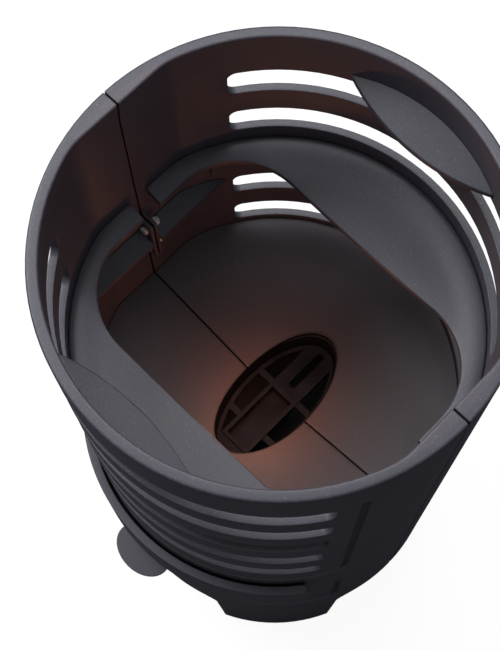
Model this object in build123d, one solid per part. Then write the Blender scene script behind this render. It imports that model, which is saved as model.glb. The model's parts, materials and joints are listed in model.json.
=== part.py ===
from build123d import *
import math
import os

os.makedirs("parts", exist_ok=True)

# Cast iron fire column, millimetres, +Z up, origin on the floor under the axis.
# The two half shells meet on the plane y = 0. The ash drawer opens towards -Y.

# Column shells
column_height = 965.0
outer_radius = 225.0
wall = 9.0
rim_width = 12.0
rim_taper_height = 40.0
rim_edge = 1.5
seam_flat_inset = 8.0
seam_flat_blend = 70.0
seam_gap = 0.8

# Air slots, counted from the top, in both halves
slot_count = 5
slot_height = 41.0
slot_pitch = 81.0
slot_top_below_rim = 70.0
slot_half_angle = 57.5
slot_corner = 10.0

# Relief grooves that frame the slots and the drawer
groove_width = 9.0
groove_depth = 3.0
groove_corner = 28.0
frame_half_angle = 65.8
upper_frame_top = 895.0
upper_frame_bottom = 479.0
lower_frame_top = 376.0
lower_frame_bottom = 229.0

# Arches between the four feet
arch_height = 165.0
arch_top_width = 172.0
arch_bottom_width = 190.0
arch_corner = 26.0

# Clearance between an inner piece and the shell that carries it
seat_clearance = 0.3

# Lugs inside the seams, with the bolts that hold the halves together
lug_reach = 20.0
lug_thickness = 5.0
lug_edge = 16.0
upper_bolt_heights = (682.0, 632.0)
lower_bolt_heights = (262.0,)
bolt_diameter = 6.0
bolt_hole = 7.0
bolt_head_flats = 10.0
bolt_head_height = 4.0
nut_height = 5.0
bolt_end = 2.0
washer_diameter = 12.0
washer_thickness = 1.6

# Cast pads that carry the inner pieces
pad_width = 18.0
pad_height = 8.0
pad_reach = 11.0

# Upper guides, lens-shaped shelves above the first slot
upper_guide_width = 37.0
upper_guide_edge_radius = 265.0
upper_guide_below_rim = 46.0
upper_guide_angle = 24.2
guide_thickness = 8.0
upper_guide_pad_angle = 12.0

# Middle ledges, which leave an oblong opening
ledge_end_width = 23.0
ledge_opening_width = 255.0
ledge_opening_corner = 82.0
ledge_below_rim = 214.0
ledge_angle = 7.4
ledge_thickness = 9.0
ledge_bead_width = 34.0
ledge_bead_height = 5.5
ledge_end_gap = 12.0
ledge_flange_drop = 66.0
ledge_flange_thickness = 7.0
ledge_flange_half_angle = 64.5
ledge_pad_angle = 45.0

# Lower guides beside the seams
lower_guide_width = 22.0
lower_guide_below_rim = 290.0
lower_guide_angle = 29.0
lower_guide_pad_angle = 71.0

# Funnel and its throat
funnel_rim_height = 522.0
funnel_angle = 14.0
funnel_thickness = 8.0
funnel_flange_width = 14.0
funnel_flange_height = 14.0
funnel_pad_angles = (22.0, 61.0)
throat_length = 187.0
throat_width = 96.0
collar_wall = 6.0
collar_bottom = 432.0

# Grate
grate_top = 446.0
grate_thickness = 8.0
grate_clearance = 0.8
grate_ring = 6.0
grate_plate_width = 43.0
grate_slot_width = 9.0
grate_slot_length = 58.0
grate_slot_front = 27.0
grate_cross_bar = 9.0
grate_cross_bar_places = (-42.0, 16.0)
grate_seat_reach = 5.0
grate_seat_width = 14.0

# Ember tray, which hangs in the grate
tray_length = 84.0
tray_width = 36.0
tray_centre = -29.0
tray_depth = 22.0
tray_sheet = 2.0
tray_rim = 3.0
tray_clearance = 1.0
tray_window_length = 26.0
tray_window_height = 9.0

# Ash floor, runners and stop
floor_top = 366.0
floor_thickness = 5.0
runner_height = 24.0
runner_foot = 20.0
runner_sheet = 3.0
runner_front = -145.0
runner_back = 120.0
stop_width = 60.0
stop_height = 18.0
stop_sheet = 4.0

# Ash drawer
drawer_width = 270.0
drawer_back = 112.0
drawer_height = 52.0
drawer_sheet = 2.5
drawer_lift = 0.4
drawer_side_gap = 0.6
drawer_opening_gap = 2.5
drawer_front_gap = 3.5
front_thickness = 10.5
front_half_angle = 53.5
front_bottom = 366.0
front_top = 455.0
front_corner = 6.0
tab_width = 78.0
tab_reach = 28.0
tab_thickness = 5.0
tab_screw_spacing = 26.0
tab_screw_depth = 10.0
drawer_screw_angle = 25.0
screw_diameter = 5.0
screw_head_diameter = 9.0
screw_head_height = 2.8

# Worked out from the sizes above
inner_radius = outer_radius - wall
seam_flat = inner_radius - seam_flat_inset
upper_guide_edge = inner_radius - upper_guide_width
lower_guide_edge = seam_flat - lower_guide_width
ledge_opening_length = 2 * (seam_flat - ledge_end_width)
front_inner_radius = outer_radius + drawer_front_gap
upper_guide_fall = math.tan(math.radians(upper_guide_angle))
ledge_fall = math.tan(math.radians(ledge_angle))
lower_guide_fall = math.tan(math.radians(lower_guide_angle))
funnel_fall = math.tan(math.radians(funnel_angle))
tall = column_height + 100.0
drawer_bottom = floor_top + drawer_lift
drawer_top = drawer_bottom + drawer_height
grate_bottom = grate_top - grate_thickness
front_outer_radius = front_inner_radius + front_thickness
tab_bottom = front_bottom - tab_thickness


def at_angle(shape, angle):
    """Turns a shape made at -Y by an angle about the column's axis."""
    return shape.rotate(Axis.Z, angle)


def block(x_size, y_size, low, high, x=0.0, y=0.0):
    """A box given by its plan size and its two heights."""
    return Pos(x, y, (low + high) / 2) * Box(x_size, y_size, high - low)


def prism(plan, low, high):
    """A plan sketch raised between two heights."""
    return Pos(0, 0, low) * extrude(plan, high - low)


def sector(inner, outer, half_angle, low, high):
    """A curved block of the wall, centred on -Y."""
    profile = Plane.XZ * Pos((inner + outer) / 2, (low + high) / 2) * Rectangle(outer - inner, high - low)
    turned = revolve(profile, Axis.Z, 2 * half_angle)
    return turned.rotate(Axis.Z, -90 - half_angle)


def rounded_sector(inner, outer, half_angle, low, high, corner, top_too=True):
    """A curved block whose corners, seen from outside, are rounded."""
    body = sector(inner, outer, half_angle, low, high)
    radial = [
        edge
        for edge in body.edges().filter_by(GeomType.LINE)
        if abs((edge @ 1 - edge @ 0).Z) < 0.01 and (top_too or (edge @ 0).Z < (low + high) / 2)
    ]
    return fillet(radial, corner)


def oval(length, width):
    """An oval plan with its long axis along Y."""
    return Ellipse(width / 2, length / 2)


def inside_plan(clearance=0.0):
    """The plan of the space inside the shells, with a flat beside each seam."""
    reach = inner_radius - clearance
    flats = Rectangle(2 * (seam_flat - clearance), 2 * outer_radius)
    plan = Circle(reach) & flats
    return fillet(plan.vertices(), seam_flat_blend)


def hexagon(flats, thickness):
    """A hexagonal prism that stands on the origin."""
    return extrude(RegularPolygon(flats / math.sqrt(3), 6), thickness)


def in_front(shape):
    """The part of a shape that belongs to the front half."""
    side = 2 * outer_radius + 100
    return shape & block(side, side, -50, tall, y=-side / 2 - seam_gap / 2)


def to_back(shape):
    """The same piece for the back half."""
    return shape.mirror(Plane.XZ)


def slot_top(level):
    """The height of the upper edge of a slot, where level 0 is the highest."""
    return column_height - slot_top_below_rim - level * slot_pitch


def arch_cutter():
    """A trapezoid with two rounded upper corners, cut through the wall at -Y."""
    half_top = arch_top_width / 2
    half_bottom = arch_bottom_width / 2
    outline = Polygon(
        (-half_bottom, -1),
        (half_bottom, -1),
        (half_top, arch_height),
        (-half_top, arch_height),
        align=None,
    )
    upper = outline.vertices().group_by(Axis.Y)[-1]
    outline = fillet(upper, arch_corner)
    return Pos(0, -outer_radius - 10, 0) * (Plane.XZ * extrude(outline, -(outer_radius * 0.6)))


def groove_frame(low, high):
    """A groove that runs down one side, along the bottom and up the other side."""
    turn = math.degrees(groove_width / outer_radius)
    floor_radius = outer_radius - groove_depth
    outside = outer_radius + 5
    corner_inside = groove_corner - groove_width
    frame = rounded_sector(floor_radius, outside, frame_half_angle, low, tall, groove_corner, False)
    middle = rounded_sector(
        floor_radius - 1, outside + 1, frame_half_angle - turn, low + groove_width, tall + 1, corner_inside, False
    )
    return (frame - middle) & block(3 * outer_radius, 3 * outer_radius, low - 1, high)


def pad(angle, top):
    """A cast pad on the inside of the wall, with a sloping underside."""
    start = inner_radius - pad_reach
    end = inner_radius + wall / 2
    outline = Polygon(
        (start, top),
        (end, top),
        (end, top - pad_height),
        (inner_radius, top - pad_height),
        (start, top - pad_height / 2),
        align=None,
    )
    body = Plane.YZ * extrude(outline, pad_width / 2, both=True)
    return at_angle(body.mirror(Plane.XZ), angle)


def tilted_slab(wall_top, fall, thickness):
    """A plate that falls towards the axis from its height at the wall on -Y."""
    run = inner_radius
    outline = Polygon(
        (-inner_radius, wall_top),
        (0, wall_top - fall * run),
        (0, wall_top - fall * run - thickness),
        (-inner_radius, wall_top - thickness),
        align=None,
    )
    return Plane.YZ * extrude(outline, outer_radius, both=True)


def pad_under_slab(foot, fall, angle):
    """The top of a pad that stays below a tilted plate, at an angle from its middle."""
    turn = math.radians(angle)
    nearest = (inner_radius - pad_reach) * math.cos(turn) - pad_width / 2 * math.sin(turn)
    return foot - fall * (inner_radius - nearest)


def lug_span(heights):
    """The lowest and highest point of a lug that holds bolts at some heights."""
    return min(heights) - lug_edge, max(heights) + lug_edge


def bolt_places():
    """Side and height of each seam bolt."""
    heights = upper_bolt_heights + lower_bolt_heights
    return [(side, height) for side in (-1, 1) for height in heights]


def bolt_x(side):
    return side * (seam_flat - lug_reach / 2)


def make_front_shell():
    """The front half of the wall without the drawer's opening."""
    body = prism(Circle(outer_radius), 0, column_height)
    taper_start = column_height - rim_taper_height
    body -= prism(inside_plan(), -1, taper_start)
    taper = math.degrees(math.atan((rim_width - wall) / rim_taper_height))
    body -= Pos(0, 0, taper_start) * extrude(inside_plan(), rim_taper_height, taper=taper)
    rim_edges = body.faces().sort_by(Axis.Z)[-1].edges()
    body = chamfer(rim_edges, rim_edge)
    body = in_front(body)
    for level in range(slot_count):
        top = slot_top(level)
        body -= rounded_sector(
            inner_radius - 15, outer_radius + 5, slot_half_angle, top - slot_height, top, slot_corner
        )
    for angle in (-90, 0, 90):
        body -= at_angle(arch_cutter(), angle)
    body -= groove_frame(upper_frame_bottom, upper_frame_top)
    body -= groove_frame(lower_frame_bottom, lower_frame_top)
    for heights in (upper_bolt_heights, lower_bolt_heights):
        low, high = lug_span(heights)
        for side in (-1, 1):
            body += block(
                lug_reach + 2,
                lug_thickness,
                low,
                high,
                x=side * (seam_flat - lug_reach / 2 + 1),
                y=-seam_gap / 2 - lug_thickness / 2,
            )
    for side, height in bolt_places():
        body -= Pos(bolt_x(side), 0, height) * Rot(90, 0, 0) * Cylinder(bolt_hole / 2, 4 * lug_thickness)
    ledge_foot = column_height - ledge_below_rim - ledge_flange_drop
    lower_foot = column_height - lower_guide_below_rim - guide_thickness
    upper_foot = column_height - upper_guide_below_rim - guide_thickness
    pad_rows = [
        (upper_guide_pad_angle, pad_under_slab(upper_foot, upper_guide_fall, upper_guide_pad_angle)),
        (ledge_pad_angle, ledge_foot),
        (lower_guide_pad_angle, pad_under_slab(lower_foot, lower_guide_fall, 90 - lower_guide_pad_angle)),
    ]
    pad_rows += [(angle, funnel_rim_height - funnel_flange_height) for angle in funnel_pad_angles]
    pad_rows += [(angle, floor_top - floor_thickness) for angle in funnel_pad_angles]
    for angle, top in pad_rows:
        for side in (-1, 1):
            body += pad(side * angle, top)
    return body


def make_upper_guide():
    """A lens-shaped shelf, tilted down towards the axis."""
    lens = inside_plan(seat_clearance) & Pos(0, -upper_guide_edge - upper_guide_edge_radius) * Circle(
        upper_guide_edge_radius
    )
    slab = tilted_slab(column_height - upper_guide_below_rim, upper_guide_fall, guide_thickness)
    return slab & prism(lens, 0, tall)


def make_middle_ledge():
    """A crescent with a raised bead at the wall and a flange behind the third slot."""
    reach = inner_radius - seat_clearance
    top = column_height - ledge_below_rim
    inner = ledge_opening_width / 4
    fall = ledge_fall * (reach - inner)
    profile = Polygon(
        (inner, top - fall),
        (reach - ledge_bead_width, top - ledge_fall * ledge_bead_width),
        (reach - ledge_bead_width * 0.75, top - ledge_bead_height * 0.2),
        (reach - ledge_bead_width * 0.55, top + ledge_bead_height * 0.45),
        (reach - ledge_bead_width * 0.38, top + ledge_bead_height * 0.9),
        (reach - ledge_bead_width * 0.22, top + ledge_bead_height),
        (reach - ledge_bead_width * 0.08, top + ledge_bead_height * 0.75),
        (reach, top + ledge_bead_height * 0.2),
        (reach, top - ledge_thickness),
        (inner, top - fall - ledge_thickness),
        align=None,
    )
    ring = revolve(Plane.XZ * profile, Axis.Z, 360)
    opening = RectangleRounded(ledge_opening_length, ledge_opening_width, ledge_opening_corner)
    ring &= prism(inside_plan(seat_clearance) - opening, 0, tall)
    side = 3 * outer_radius
    ring &= block(side, side, 0, tall, y=-side / 2 - ledge_end_gap)
    flange_low = column_height - ledge_below_rim - ledge_flange_drop
    flange = sector(
        reach - ledge_flange_thickness, reach, ledge_flange_half_angle, flange_low, top - ledge_thickness / 2
    )
    return ring + flange


def make_lower_guide():
    """A shelf beside the right-hand seam, in the front half."""
    side = 3 * outer_radius
    plan = inside_plan(seat_clearance)
    plan &= Pos(lower_guide_edge + side / 2, 0) * Rectangle(side, side)
    plan &= Pos(0, -side / 2 - seam_gap / 2 - lug_thickness - seat_clearance) * Rectangle(side, side)
    slab = tilted_slab(column_height - lower_guide_below_rim, lower_guide_fall, guide_thickness)
    return slab.rotate(Axis.Z, 90) & prism(plan, 0, tall)


def make_funnel_half():
    """Half of the funnel with its flat flange and the collar below the throat."""
    reach = inner_radius - seat_clearance
    inner = throat_width / 4
    top = funnel_rim_height
    fall = funnel_fall * (reach - inner)
    flange_start = reach - funnel_flange_width
    profile = Polygon(
        (inner, top - fall),
        (reach, top),
        (reach, top - funnel_flange_height),
        (flange_start, top - funnel_flange_height),
        (flange_start, top - funnel_fall * funnel_flange_width - funnel_thickness),
        (inner, top - fall - funnel_thickness),
        align=None,
    )
    cone = revolve(Plane.XZ * profile, Axis.Z, 360)
    cone &= prism(inside_plan(seat_clearance), 0, tall)
    collar_plan = oval(throat_length + 2 * collar_wall, throat_width + 2 * collar_wall)
    collar_top = top - funnel_fall * (reach - throat_width / 2) - funnel_thickness / 2
    cone += prism(collar_plan, collar_bottom, collar_top)
    cone -= prism(oval(throat_length, throat_width), 0, tall)
    seat_place = throat_length / 2 - grate_seat_reach / 2
    seat = block(grate_seat_width, grate_seat_reach + 2, collar_bottom, grate_bottom, y=-seat_place - 1)
    side_place = throat_width / 2 * math.sqrt(1 - (grate_seat_width / throat_length) ** 2)
    for side in (-1, 1):
        seat += block(
            2 * grate_seat_reach,
            grate_seat_width,
            collar_bottom,
            grate_bottom,
            x=side * side_place,
            y=-grate_seat_width,
        )
    return in_front(cone + seat)


def make_grate():
    """An oval grate with a slotted middle plate and two open sides."""
    length = throat_length - 2 * grate_clearance
    width = throat_width - 2 * grate_clearance
    outline = oval(length, width)
    open_plan = oval(length - 2 * grate_ring, width - 2 * grate_ring)
    open_plan -= Rectangle(grate_plate_width, length)
    for place in grate_cross_bar_places:
        open_plan -= Pos(0, place) * Rectangle(width, grate_cross_bar)
    plan = outline - open_plan
    slot_centre = grate_slot_front + grate_slot_length / 2
    plan -= Pos(0, slot_centre) * Rot(0, 0, 90) * SlotOverall(grate_slot_length, grate_slot_width)
    tray_hole = Rectangle(tray_width + 2 * tray_clearance, tray_length + 2 * tray_clearance)
    plan -= Pos(0, tray_centre) * tray_hole
    return prism(plan, grate_bottom, grate_top)


def make_ember_tray():
    """A folded tray with a rim that hangs on the grate, and windows in its long sides."""
    rim_low = grate_top + seat_clearance
    rim_high = rim_low + tray_sheet
    low = rim_high - tray_depth
    body = block(tray_width, tray_length, low, rim_high)
    body += block(tray_width + 2 * tray_rim, tray_length + 2 * tray_rim, rim_low, rim_high)
    body -= block(tray_width - 2 * tray_sheet, tray_length - 2 * tray_sheet, low + tray_sheet, rim_high + 1)
    for end in (-1, 1):
        place = end * tray_length / 4
        window_low = low + tray_sheet + 2
        body -= block(2 * tray_width, tray_window_length, window_low, window_low + tray_window_height, y=place)
    return Pos(0, tray_centre, 0) * body


def make_ash_floor():
    """The plate that closes the column below the drawer."""
    return prism(inside_plan(seat_clearance), floor_top - floor_thickness, floor_top)


def make_runner():
    """The right-hand angle that guides the drawer."""
    length = runner_back - runner_front
    middle = (runner_back + runner_front) / 2
    inside = drawer_width / 2 + drawer_side_gap
    foot = block(runner_foot, length, floor_top, floor_top + runner_sheet, x=inside + runner_foot / 2, y=middle)
    leg = block(
        runner_sheet, length, floor_top, floor_top + runner_height, x=inside + runner_sheet / 2, y=middle
    )
    return foot + leg


def make_drawer_stop():
    """A small angle behind the drawer."""
    start = drawer_back + drawer_side_gap
    leg = block(stop_width, stop_sheet, floor_top, floor_top + stop_height, y=start + stop_sheet / 2)
    foot = block(stop_width, stop_height, floor_top, floor_top + stop_sheet, y=start + stop_height / 2)
    return leg + foot


def drawer_plan(inset=0.0):
    """The plan of the drawer, curved at the front."""
    front = front_inner_radius - inset
    back = drawer_back - inset
    width = drawer_width - 2 * inset
    return Pos(0, (back - front) / 2) * Rectangle(width, back + front) & Circle(front)


def make_drawer_box():
    """An open box of folded sheet with a curved front."""
    body = prism(drawer_plan(), drawer_bottom, drawer_top)
    body -= prism(drawer_plan(drawer_sheet), drawer_bottom + drawer_sheet, drawer_top + 1)
    for place in drawer_screw_places():
        body -= place * Cylinder(screw_diameter / 2, 4 * front_thickness)
    return body


def drawer_screw_places():
    """Where the screws of the drawer front stand, pointing outwards."""
    height = (drawer_bottom + drawer_top) / 2
    places = []
    for side in (-1, 1):
        places.append(Rot(0, 0, side * drawer_screw_angle) * Pos(0, -front_inner_radius, height) * Rot(90, 0, 0))
    return places


def make_drawer_front():
    """The curved front plate of the drawer, proud of the column."""
    body = rounded_sector(
        front_inner_radius, front_outer_radius, front_half_angle, front_bottom, front_top, front_corner
    )
    for place in drawer_screw_places():
        body -= place * Cylinder(screw_diameter / 2, front_thickness)
    for side in (-1, 1):
        body -= tab_screw_hole(side)
    return body


def tab_screw_place(side):
    """Where a screw of the tab stands, pointing up into the edge of the front plate."""
    middle = front_inner_radius + front_thickness / 2
    turn = math.degrees(tab_screw_spacing / 2 / middle)
    return Rot(0, 0, side * turn) * Pos(0, -middle, tab_bottom)


def tab_screw_hole(side):
    """The hole for that screw, through the tab and into the plate."""
    depth = tab_thickness + tab_screw_depth
    return tab_screw_place(side) * Pos(0, 0, depth / 2) * Cylinder(screw_diameter / 2, depth)


def make_drawer_tab():
    """The half-round pull, screwed from below to the lower edge of the front plate."""
    plate = Pos(0, -front_outer_radius) * Ellipse(tab_width / 2, tab_reach)
    plate -= Circle(front_inner_radius)
    body = prism(plate, tab_bottom, front_bottom)
    for side in (-1, 1):
        body -= tab_screw_hole(side)
    return body


def screw(grip):
    """A pan head screw, its shank along +Z from the underside of its head."""
    shank = Pos(0, 0, grip / 2) * Cylinder(screw_diameter / 2, grip)
    head = Pos(0, 0, -screw_head_height / 2) * Cylinder(screw_head_diameter / 2, screw_head_height)
    return head + shank


def make_drawer_screws():
    """Screws from inside the box into the front plate."""
    grip = drawer_sheet + front_thickness / 2
    inside = front_inner_radius - drawer_sheet
    bow = inside - math.sqrt(inside**2 - (screw_head_diameter / 2) ** 2)
    return [place * Pos(0, 0, -drawer_sheet - bow) * screw(grip) for place in drawer_screw_places()]


def make_tab_screws():
    """Screws from below through the tab into the front plate."""
    return [tab_screw_place(side) * screw(tab_thickness + tab_screw_depth) for side in (-1, 1)]


def make_bolts():
    """Hexagon bolts across the seams, with their heads in front."""
    reach = seam_gap / 2 + lug_thickness
    length = 2 * reach + washer_thickness + nut_height + bolt_end
    bolt = Pos(0, 0, -bolt_head_height) * hexagon(bolt_head_flats, bolt_head_height)
    bolt += Pos(0, 0, length / 2) * Cylinder(bolt_diameter / 2, length)
    turned = Rot(-90, 0, 0) * bolt
    return [Pos(bolt_x(side), -reach, height) * turned for side, height in bolt_places()]


def make_nuts():
    """Nuts on the back side of the lugs."""
    reach = seam_gap / 2 + lug_thickness + washer_thickness
    nut = hexagon(bolt_head_flats, nut_height) - Pos(0, 0, nut_height / 2) * Cylinder(
        bolt_diameter / 2, nut_height
    )
    turned = Rot(-90, 0, 0) * nut
    return [Pos(bolt_x(side), reach, height) * turned for side, height in bolt_places()]


def make_washers():
    """One washer under each nut."""
    middle = seam_gap / 2 + lug_thickness + washer_thickness / 2
    washer = Cylinder(washer_diameter / 2, washer_thickness) - Cylinder(bolt_hole / 2, washer_thickness)
    turned = Rot(90, 0, 0) * washer
    return [Pos(bolt_x(side), middle, height) * turned for side, height in bolt_places()]


def save(name, shape):
    """Writes one node, a single solid or a group of separate solids."""
    if isinstance(shape, list):
        shape = Compound(children=[Compound(solid.wrapped) for solid in shape])
    export_step(shape, f"parts/{name}.step")


half_shell = make_front_shell()
opening_half = drawer_width / 2 + drawer_opening_gap
opening = block(
    2 * opening_half, outer_radius, floor_top, drawer_top + drawer_opening_gap, y=-outer_radius / 2 - inner_radius / 2
)
save("front_shell", half_shell - opening)
save("back_shell", to_back(half_shell))

upper_guide = make_upper_guide()
save("front_upper_guide", upper_guide)
save("back_upper_guide", to_back(upper_guide))

middle_ledge = make_middle_ledge()
save("front_middle_ledge", middle_ledge)
save("back_middle_ledge", to_back(middle_ledge))

lower_guide = make_lower_guide()
save("front_right_lower_guide", lower_guide)
save("front_left_lower_guide", lower_guide.mirror(Plane.YZ))
save("back_right_lower_guide", to_back(lower_guide))
save("back_left_lower_guide", to_back(lower_guide.mirror(Plane.YZ)))

funnel_half = make_funnel_half()
save("front_funnel_half", funnel_half)
save("back_funnel_half", to_back(funnel_half))

save("grate", make_grate())
save("ember_tray", make_ember_tray())

runner = make_runner()
save("ash_floor", make_ash_floor())
save("right_drawer_runner", runner)
save("left_drawer_runner", runner.mirror(Plane.YZ))
save("drawer_stop", make_drawer_stop())

save("ash_drawer_box", make_drawer_box())
save("ash_drawer_front", make_drawer_front())
save("ash_drawer_tab", make_drawer_tab())
save("drawer_front_screws", make_drawer_screws())
save("drawer_tab_screws", make_tab_screws())

save("seam_bolts", make_bolts())
save("seam_nuts", make_nuts())
save("seam_washers", make_washers())
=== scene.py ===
import bpy
import bmesh
import json
import math
from mathutils import Matrix, Vector
from mathutils.bvhtree import BVHTree
from mathutils.geometry import delaunay_2d_cdt
from mathutils.kdtree import KDTree


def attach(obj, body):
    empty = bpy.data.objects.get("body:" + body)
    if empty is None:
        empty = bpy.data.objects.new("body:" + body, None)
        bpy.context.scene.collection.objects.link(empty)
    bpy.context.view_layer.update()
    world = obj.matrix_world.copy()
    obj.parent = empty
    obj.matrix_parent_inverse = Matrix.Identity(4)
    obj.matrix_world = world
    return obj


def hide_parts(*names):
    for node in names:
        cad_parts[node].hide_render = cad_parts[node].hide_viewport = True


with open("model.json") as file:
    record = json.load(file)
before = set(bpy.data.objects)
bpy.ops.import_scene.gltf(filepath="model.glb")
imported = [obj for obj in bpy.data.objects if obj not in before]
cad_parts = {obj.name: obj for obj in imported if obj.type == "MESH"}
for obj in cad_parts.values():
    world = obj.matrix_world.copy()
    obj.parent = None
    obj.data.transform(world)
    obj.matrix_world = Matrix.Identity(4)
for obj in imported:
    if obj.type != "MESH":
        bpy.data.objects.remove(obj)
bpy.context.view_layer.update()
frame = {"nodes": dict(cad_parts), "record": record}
nodes = frame["nodes"]
print("frame loaded:", len(nodes), "nodes")


def colour(*parts):
    return (*parts, 1.0)


def placed(name, data):
    made = bpy.data.objects.new(name, data)
    bpy.context.scene.collection.objects.link(made)
    return made


def meshFrom(bm, name):
    mesh = bpy.data.meshes.new(name)
    bm.to_mesh(mesh)
    bm.free()
    return mesh


class Value:
    # a shader socket that takes part in Python arithmetic
    def __init__(self, finish, socket):
        self.finish = finish
        self.socket = socket

    def maths(self, operation, other=0.0, clamp=False):
        settings = {"operation": operation, "use_clamp": clamp}
        made = self.finish.node("ShaderNodeMath", settings, {0: self, 1: other})
        return Value(self.finish, made.outputs[0])

    def __add__(self, other):
        return self.maths("ADD", other)

    def __sub__(self, other):
        return self.maths("SUBTRACT", other)

    def __mul__(self, other):
        return self.maths("MULTIPLY", other)

    def __truediv__(self, other):
        return self.maths("DIVIDE", other)

    def __pow__(self, other):
        return self.maths("POWER", other)

    def most(self, other):
        return self.maths("MAXIMUM", other)

    def unsigned(self):
        return self.maths("ABSOLUTE")

    def clamped(self):
        return self.maths("ADD", 0.0, True)

    def between(self, low, high):
        # 0 at low, 1 at high, straight in between and level outside
        return ((self - low) * (1 / (high - low))).clamped()


class Finish:
    # one material and the nodes it is made of
    def __init__(self, name):
        self.material = bpy.data.materials.new(name)
        self.material.use_nodes = True
        self.tree = self.material.node_tree
        self.shader = self.tree.nodes["Principled BSDF"]
        self.place = self.node("ShaderNodeTexCoord").outputs["Object"]

    def feed(self, socket, value):
        if isinstance(value, Value):
            value = value.socket
        if isinstance(value, bpy.types.NodeSocket):
            self.tree.links.new(value, socket)
        else:
            socket.default_value = value

    def node(self, kind, settings=None, sockets=None):
        made = self.tree.nodes.new(kind)
        for key, value in (settings or {}).items():
            setattr(made, key, value)
        for key, value in (sockets or {}).items():
            self.feed(made.inputs[key], value)
        return made

    def noise(self, scale, detail, roughness):
        sockets = {"Vector": self.place, "Scale": scale, "Detail": detail, "Roughness": roughness}
        return Value(self, self.node("ShaderNodeTexNoise", None, sockets).outputs["Fac"])

    def axis(self, index):
        made = self.node("ShaderNodeSeparateXYZ", None, {0: self.place})
        return Value(self, made.outputs[index])

    def distance(self):
        # from the column's axis
        return (self.axis(0) ** 2.0 + self.axis(1) ** 2.0) ** 0.5

    def mixed(self, factor, first, second):
        made = self.node("ShaderNodeMix", {"data_type": "RGBA"}, {0: factor, 6: first, 7: second})
        return made.outputs[2]

    def bump(self, height, strength, distance):
        sockets = {"Height": height, "Strength": strength, "Distance": distance}
        made = self.node("ShaderNodeBump", None, sockets)
        self.feed(self.shader.inputs["Normal"], made.outputs[0])

    def set(self, **values):
        for key, value in values.items():
            self.feed(self.shader.inputs[key.replace("_", " ")], value)


# painted shade along the seam between the two halves
jointShade = {"halfWidth": 0.0013, "fade": 0.0006, "shade": 0.9, "colour": colour(0.002, 0.002, 0.002)}


def jointShaded(finish, base):
    near = finish.axis(1).unsigned().between(jointShade["halfWidth"] + jointShade["fade"], jointShade["halfWidth"])
    return finish.mixed(near * jointShade["shade"], base, jointShade["colour"])


# painted shade in the relief grooves on the outside of the shells: their depth, heights and distance from the
# middle
grooveShade = {"outer": 0.2235, "inner": 0.2205, "fade": 0.001, "side": 0.192, "sideFade": 0.002,
          "top": 0.9, "topFade": 0.003, "low": 0.5, "lowFade": 0.01, "shade": 0.75}


def grooveShaded(finish, base):
    outer = grooveShade["outer"]
    inner = grooveShade["inner"]
    across = finish.distance()
    height = finish.axis(2)
    sunk = across.between(outer, outer - grooveShade["fade"]) * across.between(inner, inner + grooveShade["fade"])
    beside = finish.axis(0).unsigned().between(grooveShade["side"] - grooveShade["sideFade"], grooveShade["side"])
    below = height.between(grooveShade["low"] + grooveShade["lowFade"], grooveShade["low"])
    framed = height.between(grooveShade["top"] + grooveShade["topFade"], grooveShade["top"])
    return finish.mixed(beside.most(below) * sunk * framed * grooveShade["shade"], base, jointShade["colour"])


# the warm tint of heat on the inside of the shells together with painted firelight, stronger lower down
# here and below, a noise is given by its scale, detail and roughness
heatAndGlow = {"amount": 0.7, "colour": colour(0.122, 0.077, 0.086), "patches": (5.0, 5.0, 0.6),
        "limits": (0.25, 0.7), "radius": 0.2175, "fade": 0.003, "top": 0.95, "bottom": 0.70, "least": 0.4}


def heatedAndFireLit(finish, base):
    patches = finish.noise(*heatAndGlow["patches"]).between(*heatAndGlow["limits"])
    inside = finish.distance().between(heatAndGlow["radius"], heatAndGlow["radius"] - heatAndGlow["fade"])
    lower = finish.axis(2).between(heatAndGlow["top"], heatAndGlow["bottom"])
    amount = patches * inside * (lower * (1 - heatAndGlow["least"]) + heatAndGlow["least"]) * heatAndGlow["amount"]
    return finish.mixed(amount, base, heatAndGlow["colour"])


# sand-cast iron under thin matt stove paint
iron = {"dark": colour(0.030, 0.029, 0.040), "light": colour(0.052, 0.050, 0.068),
        "mottle": (9.0, 4.0, 0.55), "grain": (330.0, 3.0, 0.6), "fine": (900.0, 2.0, 0.55),
        "mottleShare": 0.6, "grainShare": 0.5, "limits": (0.3, 0.8),
        "glintColour": colour(0.16, 0.16, 0.19), "glints": (620.0, 1.0, 0.55), "glintLimits": (0.66, 0.76),
        "glintAmount": 0.55, "roughness": 0.5, "fineRoughness": 0.2, "mottleRoughness": 0.15,
        "bumpStrength": 0.3, "bumpDepth": 0.0005, "grainBump": 0.7, "fineBump": 0.3}


# painted glints: lighter specks stand for the sparkle of the paint
def paintedGlints(finish, base, amount):
    glints = finish.noise(*iron["glints"]).between(*iron["glintLimits"])
    return finish.mixed(glints * amount, base, iron["glintColour"])


def ironRoughness(fine):
    return (fine - 0.5) * iron["fineRoughness"] + iron["roughness"]


def ironBump(finish, grain, fine):
    height = grain * iron["grainBump"] + fine * iron["fineBump"]
    finish.bump(height, iron["bumpStrength"], iron["bumpDepth"])


def castIron(name, isShell=False):
    finish = Finish(name)
    mottle = finish.noise(*iron["mottle"])
    grain = finish.noise(*iron["grain"])
    fine = finish.noise(*iron["fine"])
    shade = (mottle * iron["mottleShare"] + grain * iron["grainShare"]).between(*iron["limits"])
    base = finish.mixed(shade, iron["dark"], iron["light"])
    if isShell:
        # warm heat tint and painted firelight on the inside of the shell
        base = heatedAndFireLit(finish, base)
    # painted glints on the paint
    base = paintedGlints(finish, base, iron["glintAmount"])
    if isShell:
        # painted shade in the relief grooves and along the seam between the halves
        base = jointShaded(finish, grooveShaded(finish, base))
    finish.set(Base_Color=base, Roughness=ironRoughness(fine) + (mottle - 0.5) * iron["mottleRoughness"])
    ironBump(finish, grain, fine)
    return finish.material


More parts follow.
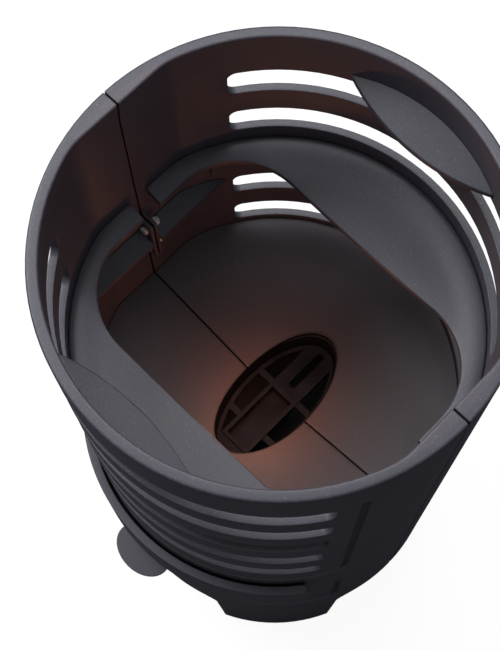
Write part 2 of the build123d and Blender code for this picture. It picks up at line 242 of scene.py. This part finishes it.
# the funnel, browned by the fire around its throat
funnel = {"dark": colour(0.013, 0.010, 0.014), "light": colour(0.046, 0.037, 0.048),
          "broad": (5.5, 1.5, 0.55), "broadShare": 1.1, "grainShare": 0.25, "darker": 0.15,
          "limits": (0.25, 0.75), "hot": colour(0.085, 0.045, 0.043), "reach": 0.19, "middle": 0.06,
          "falloff": 1.3, "amount": 0.75, "glintAmount": 0.3, "soot": colour(0.002, 0.0015, 0.0015),
          "throatHalfLength": 0.0935, "throatHalfWidth": 0.048, "sootLimits": (1.05, 1.01)}


def funnelIron(name):
    finish = Finish(name)
    grain = finish.noise(*iron["grain"])
    fine = finish.noise(*iron["fine"])
    broad = finish.noise(*funnel["broad"])
    shade = broad * funnel["broadShare"] + grain * funnel["grainShare"] - funnel["darker"]
    base = finish.mixed(shade.between(*funnel["limits"]), funnel["dark"], funnel["light"])
    nearness = finish.distance().between(funnel["reach"], funnel["middle"])
    base = finish.mixed(nearness ** funnel["falloff"] * funnel["amount"], base, funnel["hot"])
    # painted glints on the funnel
    base = paintedGlints(finish, base, funnel["glintAmount"])
    # 1 on the edge of the throat
    oval = ((finish.axis(0) / funnel["throatHalfWidth"]) ** 2.0
            + (finish.axis(1) / funnel["throatHalfLength"]) ** 2.0) ** 0.5
    # painted shade along the seam between the two halves of the funnel
    base = jointShaded(finish, finish.mixed(oval.between(*funnel["sootLimits"]), base, funnel["soot"]))
    finish.set(Base_Color=base, Roughness=ironRoughness(fine))
    ironBump(finish, grain, fine)
    return finish.material


# the grate and the ember tray, black with soot
soot = {"dark": colour(0.0045, 0.00435, 0.006), "light": colour(0.0234, 0.0225, 0.0306),
        "patches": (30.0, 4.0, 0.55), "limits": (0.4, 0.7), "roughness": 0.7, "unevenness": 0.2, "shine": 0.3}


def sootIron(name):
    finish = Finish(name)
    patches = finish.noise(*soot["patches"])
    base = finish.mixed(patches.between(*soot["limits"]), soot["dark"], soot["light"])
    roughness = (patches - 0.5) * soot["unevenness"] + soot["roughness"]
    finish.set(Base_Color=base, Roughness=roughness, Specular_IOR_Level=soot["shine"])
    finish.bump(finish.noise(*iron["grain"]), iron["bumpStrength"], iron["bumpDepth"])
    return finish.material


# folded sheet, black, with a faint rust bloom
sheet = {"dark": colour(0.022, 0.021, 0.023), "bloom": colour(0.075, 0.040, 0.026), "amount": 0.3,
         "patches": (22.0, 5.0, 0.6), "limits": (0.5, 0.75), "roughness": 0.55, "unevenness": 0.3,
         "metallic": 0.3, "fine": (500.0, 2.0, 0.55), "bumpStrength": 0.15, "bumpDepth": 0.0002}


def blackSheet(name):
    finish = Finish(name)
    patches = finish.noise(*sheet["patches"])
    base = finish.mixed(patches.between(*sheet["limits"]) * sheet["amount"], sheet["dark"], sheet["bloom"])
    roughness = (patches - 0.5) * sheet["unevenness"] + sheet["roughness"]
    finish.set(Base_Color=base, Roughness=roughness, Metallic=sheet["metallic"])
    finish.bump(finish.noise(*sheet["fine"]), sheet["bumpStrength"], sheet["bumpDepth"])
    return finish.material


# zinc-plated fasteners
zinc = {"bright": colour(0.86, 0.85, 0.82), "dull": colour(0.5, 0.48, 0.44),
        "patches": (180.0, 4.0, 0.6), "limits": (0.35, 0.7), "roughness": 0.35, "unevenness": 0.3,
        "metallic": 0.3, "bumpStrength": 0.2, "bumpDepth": 0.0001}


def zincSteel(name):
    finish = Finish(name)
    patches = finish.noise(*zinc["patches"])
    base = finish.mixed(patches.between(*zinc["limits"]), zinc["bright"], zinc["dull"])
    roughness = (patches - 0.5) * zinc["unevenness"] + zinc["roughness"]
    finish.set(Base_Color=base, Roughness=roughness, Metallic=zinc["metallic"])
    finish.bump(patches, zinc["bumpStrength"], zinc["bumpDepth"])
    return finish.material


finishes = {"shell_iron": castIron("shellIron", True), "guide_iron": castIron("guideIron"),
            "funnel_iron": funnelIron("funnelIron"), "grate_iron": sootIron("grateIron"),
            "tray_steel": sootIron("traySoot"), "sheet_steel": blackSheet("blackSheet"),
            "zinc_steel": zincSteel("zincSteel")}
slots = {part["node"]: part["material_slot"] for part in frame["record"]["subparts"]}
for node, slot in slots.items():
    materials = nodes[node].data.materials
    materials.clear()
    materials.append(finishes[slot])
print("finishes made")


# the raised bead of a ledge, lowered to a part of its height
ledge = {"reach": 0.2157, "top": 0.751, "fall": 0.13, "beadWidth": 0.034, "beadLeft": 0.5}


def lowerBead(bm):
    for vertex in bm.verts:
        inward = ledge["reach"] - math.hypot(vertex.co.x, vertex.co.y)
        base = ledge["top"] - ledge["fall"] * inward
        if inward < ledge["beadWidth"] and vertex.co.z > base:
            vertex.co.z = base + (vertex.co.z - base) * ledge["beadLeft"]


# the curved walls of the shells, divided evenly
wallMesh = {"inner": 0.216, "outer": 0.225, "tolerance": 0.0002, "step": 0.020, "clear": 0.007,
            "leastHeight": 0.0005, "merge": 1e-7}


def flat(place, radius, side):
    # a place on the wall, laid out flat
    return Vector((math.atan2(place.x, side * place.y) * radius, place.z))


def isOnWall(face, radius):
    heights = [vertex.co.z for vertex in face.verts]
    isNear = all(abs(math.hypot(vertex.co.x, vertex.co.y) - radius) < wallMesh["tolerance"]
                 for vertex in face.verts)
    return isNear and max(heights) - min(heights) > wallMesh["leastHeight"]


def flatWall(faces, radius, side):
    # answers whether a point of the flat layout is on the wall
    places = [flat(vertex.co, radius, side).to_3d() for face in faces for vertex in face.verts]
    region = BVHTree.FromPolygons(places, [range(3 * index, 3 * index + 3) for index in range(len(faces))])
    downward = Vector((0.0, 0.0, -1.0))
    return lambda point: region.ray_cast(Vector((point.x, point.y, 1.0)), downward)[0] is not None


def edgeSamples(ends):
    # points along the edges of the flat layout, to measure distances from
    samples = []
    for first, second in ends:
        count = 1 + int((second - first).length / wallMesh["clear"] * 2)
        samples += [first.lerp(second, index / count) for index in range(count + 1)]
    nearest = KDTree(len(samples))
    for index, sample in enumerate(samples):
        nearest.insert(sample.to_3d(), index)
    nearest.balance()
    return nearest


def gridPoints(outline, nearest, isInside):
    # an even grid on the flat wall, clear of its edges
    lows = [min(point[axis] for point in outline) for axis in (0, 1)]
    highs = [max(point[axis] for point in outline) for axis in (0, 1)]
    step = wallMesh["step"]
    columns, rows = (int((high - low) / step) for low, high in zip(lows, highs))
    grid = [Vector((lows[0] + (column + 0.5) * step, lows[1] + (row + 0.5) * step))
            for column in range(columns) for row in range(rows)]
    return [point for point in grid if nearest.find(point.to_3d())[2] > wallMesh["clear"] and isInside(point)]


def evenWall(bm, radius, side):
    # lists keep one order from run to run, which sets of faces and edges don't
    faces = [face for face in bm.faces if isOnWall(face, radius)]
    chosen = set(faces)
    border = [edge for face in faces for edge in face.edges
              if sum(other in chosen for other in edge.link_faces) == 1]
    corners = list(dict.fromkeys(vertex for edge in border for vertex in edge.verts))
    number = {vertex: index for index, vertex in enumerate(corners)}
    links = [[number[vertex] for vertex in edge.verts] for edge in border]
    outline = [flat(vertex.co, radius, side) for vertex in corners]
    isInside = flatWall(faces, radius, side)
    nearest = edgeSamples([[outline[index] for index in link] for link in links])
    points = outline + gridPoints(outline, nearest, isInside)
    result = delaunay_2d_cdt(points, links, [], 0, wallMesh["merge"])
    spread, triangles, origins = result[0], result[2], result[3]
    bmesh.ops.delete(bm, geom=faces, context="FACES")
    vertices = []
    for point, origin in zip(spread, origins):
        if origin and origin[0] < len(corners):
            vertices.append(corners[origin[0]])
        else:
            turn = point.x / radius
            place = (math.sin(turn) * radius, side * math.cos(turn) * radius, point.y)
            vertices.append(bm.verts.new(place))
    outward = 1 if radius == wallMesh["outer"] else -1
    for triangle in triangles:
        middle = (spread[triangle[0]] + spread[triangle[1]] + spread[triangle[2]]) / 3
        if isInside(middle):
            face = bm.faces.new([vertices[index] for index in triangle])
            face.normal_update()
            radial = face.normal.x * face.verts[0].co.x + face.normal.y * face.verts[0].co.y
            if radial * outward < 0:
                face.normal_flip()
    loose = [vertex for vertex in bm.verts if not vertex.link_faces]
    bmesh.ops.delete(bm, geom=loose, context="VERTS")


# castings and pressings with their edges rounded: the rounding of each node, and how it is done
softening = {"front_shell": 0.0015, "back_shell": 0.0015,
             "front_upper_guide": 0.0015, "back_upper_guide": 0.0015,
             "front_middle_ledge": 0.0016, "back_middle_ledge": 0.0016,
             "front_right_lower_guide": 0.0012, "front_left_lower_guide": 0.0012,
             "back_right_lower_guide": 0.0012, "back_left_lower_guide": 0.0012,
             "front_funnel_half": 0.0014, "back_funnel_half": 0.0014,
             "grate": 0.0010, "ash_drawer_front": 0.0012, "ash_drawer_tab": 0.0012,
             "seam_bolts": 0.0005, "seam_nuts": 0.0005}
rounding = {"merge": 1e-5, "flatAngle": math.radians(0.02), "sharpAngle": math.radians(30),
            "segments": 2, "profile": 0.5}
riders = {"ash_drawer_front": "ash_drawer", "ash_drawer_tab": "ash_drawer", "grate": "grate"}


def sharpEdges(bm):
    return [edge for edge in bm.edges
            if len(edge.link_faces) == 2 and edge.calc_face_angle() > rounding["sharpAngle"]]


def softened(node, width):
    bm = bmesh.new()
    bm.from_mesh(nodes[node].data)
    bmesh.ops.remove_doubles(bm, verts=bm.verts, dist=rounding["merge"])
    if "ledge" in node:
        lowerBead(bm)
    if "shell" in node:
        for radius in (wallMesh["inner"], wallMesh["outer"]):
            evenWall(bm, radius, -1 if node == "front_shell" else 1)
    bmesh.ops.dissolve_limit(bm, verts=bm.verts, edges=bm.edges, angle_limit=rounding["flatAngle"])
    bmesh.ops.bevel(bm, geom=sharpEdges(bm), offset=width, offset_type="OFFSET", clamp_overlap=False,
                    segments=rounding["segments"], profile=rounding["profile"], affect="EDGES")
    bmesh.ops.triangulate(bm, faces=[face for face in bm.faces if len(face.verts) > 4])
    for face in bm.faces:
        face.smooth = True
    for edge in sharpEdges(bm):
        edge.smooth = False
    mesh = meshFrom(bm, node + "_soft")
    mesh.materials.append(finishes[slots[node]])
    piece = placed(node + "_soft", mesh)
    piece.modifiers.new("weighted", "WEIGHTED_NORMAL").keep_sharp = True
    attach(piece, riders.get(node, "column"))
    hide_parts(node)


for node, width in softening.items():
    softened(node, width)
print("edges softened:", len(softening), "nodes")


# floor, world and lamps
studio = {"floorSize": 30.0, "floorColour": colour(0.86, 0.86, 0.86), "floorRoughness": 0.9,
          "floorGlow": 0.85, "glowStrength": 1.08, "floorBounce": colour(0.08, 0.08, 0.09),
          "white": colour(1, 1, 1), "skyColour": colour(0.93, 0.95, 1.0),
          "horizon": -0.1, "horizonStrength": 0.06, "zenith": 1.0, "skyStrength": 0.58,
          "keyPower": 100.0, "keySize": 2.0, "keyPlace": (-2.2, -0.5, 3.2),
          "topPower": 38.0, "topSize": 1.6, "topPlace": (-0.8, 1.3, 3.2), "lampAim": (0.0, 0.0, 0.6)}


def makeFloor():
    bm = bmesh.new()
    bmesh.ops.create_grid(bm, x_segments=1, y_segments=1, size=studio["floorSize"] / 2)
    floor = placed("floor", meshFrom(bm, "floor"))
    finish = Finish("floorPaper")
    finish.set(Base_Color=studio["floorColour"], Roughness=studio["floorRoughness"])
    # the camera sees it nearly white, and the column gets little light back from it
    ray = finish.node("ShaderNodeLightPath").outputs["Is Camera Ray"]
    glow = finish.node("ShaderNodeEmission", None,
                       {"Color": studio["white"], "Strength": studio["glowStrength"]})
    bounce = finish.node("ShaderNodeBsdfDiffuse", None, {"Color": studio["floorBounce"]})
    seen = finish.node("ShaderNodeMixShader", None,
                       {0: studio["floorGlow"], 1: finish.shader.outputs[0], 2: glow.outputs[0]})
    mix = finish.node("ShaderNodeMixShader", None, {0: ray, 1: bounce.outputs[0], 2: seen.outputs[0]})
    finish.feed(finish.tree.nodes["Material Output"].inputs["Surface"], mix.outputs[0])
    floor.data.materials.append(finish.material)


def makeWorld():
    world = bpy.data.worlds.new("studio")
    world.use_nodes = True
    bpy.context.scene.world = world
    tree = world.node_tree
    # the sky that lights the column is brighter overhead
    place = tree.nodes.new("ShaderNodeTexCoord")
    split = tree.nodes.new("ShaderNodeSeparateXYZ")
    ramp = tree.nodes.new("ShaderNodeMapRange")
    ramp.inputs["From Min"].default_value = studio["horizon"]
    ramp.inputs["From Max"].default_value = studio["zenith"]
    ramp.inputs["To Min"].default_value = studio["horizonStrength"]
    ramp.inputs["To Max"].default_value = studio["skyStrength"]
    lit = tree.nodes["Background"]
    lit.inputs["Color"].default_value = studio["skyColour"]
    # the sky that the camera sees is plain white
    seen = tree.nodes.new("ShaderNodeBackground")
    seen.inputs["Strength"].default_value = 1.0
    seen.inputs["Color"].default_value = studio["white"]
    path = tree.nodes.new("ShaderNodeLightPath")
    mix = tree.nodes.new("ShaderNodeMixShader")
    for source, target in ((place.outputs["Generated"], split.inputs[0]),
                           (split.outputs[2], ramp.inputs["Value"]),
                           (ramp.outputs[0], lit.inputs["Strength"]),
                           (path.outputs["Is Camera Ray"], mix.inputs[0]),
                           (lit.outputs[0], mix.inputs[1]),
                           (seen.outputs[0], mix.inputs[2]),
                           (mix.outputs[0], tree.nodes["World Output"].inputs["Surface"])):
        tree.links.new(source, target)


# the warm light that a fire in the throat throws on the iron around it
ember = {"place": (0.0, -0.03, 0.56), "radius": 0.03, "power": 0.26, "colour": (1.0, 0.38, 0.20)}


def makeEmberLight():
    data = bpy.data.lights.new("ember", "POINT")
    data.shadow_soft_size = ember["radius"]
    data.energy = ember["power"]
    data.color = ember["colour"]
    placed("ember", data).location = ember["place"]


def makeLamp(name):
    data = bpy.data.lights.new(name, "AREA")
    data.shape = "DISK"
    data.size = studio[name + "Size"]
    data.energy = studio[name + "Power"]
    lamp = placed(name, data)
    lamp.location = studio[name + "Place"]
    sight = Vector(studio["lampAim"]) - Vector(studio[name + "Place"])
    lamp.rotation_euler = sight.to_track_quat("-Z", "Y").to_euler()


makeFloor()
makeWorld()
makeLamp("key")
makeLamp("top")
makeEmberLight()
bpy.context.scene.view_settings.view_transform = "Standard"
print("studio lit")


# camera: where the photographer stands, what the lens points at, and how far it is tilted
camera = {"place": (0.2975, -0.3204, 2.0942), "aim": (-0.0864, 0.0476, 0.465), "roll": -1.884,
          "lens": 75.904, "sensor": 36.0, "shiftX": -0.00414, "shiftY": -0.0007}


def makeCamera():
    data = bpy.data.cameras.new("camera")
    data.lens = camera["lens"]
    data.sensor_width = camera["sensor"]
    data.sensor_fit = "AUTO"
    data.shift_x = camera["shiftX"]
    data.shift_y = camera["shiftY"]
    made = placed("camera", data)
    sight = Vector(camera["aim"]) - Vector(camera["place"])
    turn = sight.to_track_quat("-Z", "Y").to_matrix().to_4x4()
    roll = Matrix.Rotation(math.radians(camera["roll"]), 4, "Z")
    made.matrix_world = Matrix.Translation(camera["place"]) @ turn @ roll
    bpy.context.scene.camera = made


makeCamera()
print("camera placed")
